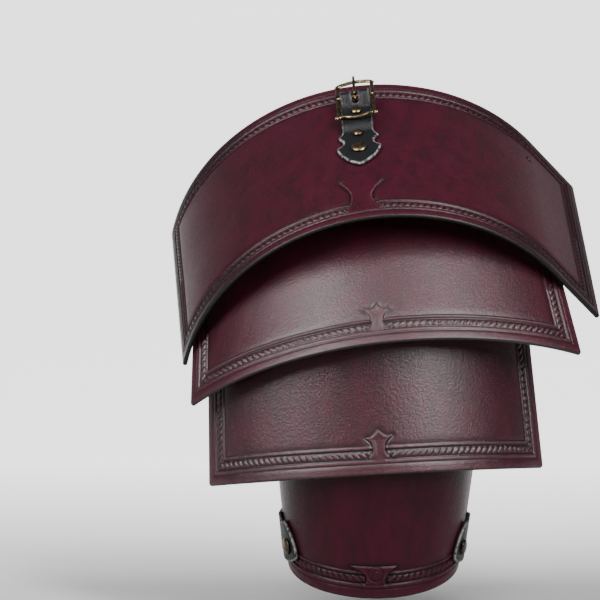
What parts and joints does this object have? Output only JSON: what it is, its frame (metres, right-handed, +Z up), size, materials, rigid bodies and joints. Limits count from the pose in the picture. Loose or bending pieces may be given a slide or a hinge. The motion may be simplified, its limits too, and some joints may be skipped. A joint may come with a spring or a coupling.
{
  "type": "leather pauldron",
  "caption": "Shoulder armour of overlapping tooled leather plates hung on inner straps, with a buckle tab on top and a strap round the arm.",
  "frame": {"origin": "underside of the top plate where it sits on the shoulder, under the buckle tab", "axes": "+Z up, -Y out of the front of the plates, +X to the right seen from the front"},
  "size_m": [0.2887, 0.2154, 0.3392],
  "materials": {
    "oxblood_leather": "tooled, dyed dark red with burnished black edges, waxed sheen",
    "black_leather": "smooth, dyed black, waxed sheen",
    "antique_brass": "antique, darkened in its hollows"
  },
  "bodies": {
    "plates": {"top_plate": "oxblood_leather", "second_lame": "oxblood_leather", "third_lame": "oxblood_leather", "arm_cuff": "oxblood_leather", "buckle_tab": "black_leather", "tab_rivet_upper": "antique_brass", "tab_rivet_small": "antique_brass", "tab_rivet_large": "antique_brass", "hanger_strap_centre": "black_leather", "hanger_rivet_centre_second": "antique_brass", "hanger_rivet_centre_third": "antique_brass", "hanger_rivet_centre_cuff": "antique_brass", "hanger_strap_left": "black_leather", "hanger_rivet_left_second": "antique_brass", "hanger_rivet_left_third": "antique_brass", "hanger_rivet_left_cuff": "antique_brass", "hanger_strap_right": "black_leather", "hanger_rivet_right_second": "antique_brass", "hanger_rivet_right_third": "antique_brass", "hanger_rivet_right_cuff": "antique_brass", "arm_strap": "black_leather", "arm_strap_tab": "black_leather", "strap_clasp": "antique_brass", "side_rivet_left": "antique_brass", "side_rivet_right": "antique_brass"},
    "buckle": {"buckle_frame": "antique_brass"},
    "tongue": {"buckle_tongue": "antique_brass"}
  },
  "joints": [
    {"name": "buckle_swing", "type": "hinge", "parent": "plates", "child": "buckle", "pos_m": [-0.00214, 0.02134, 0.02692], "axis": [-0.981, 0.0843, -0.1747], "range_deg": [0, 18]},
    {"name": "tongue_swing", "type": "hinge", "parent": "buckle", "child": "tongue", "pos_m": [-0.00214, 0.02134, 0.02692], "axis": [0.981, -0.0843, 0.1747], "range_deg": [0, 145]}
  ]
}
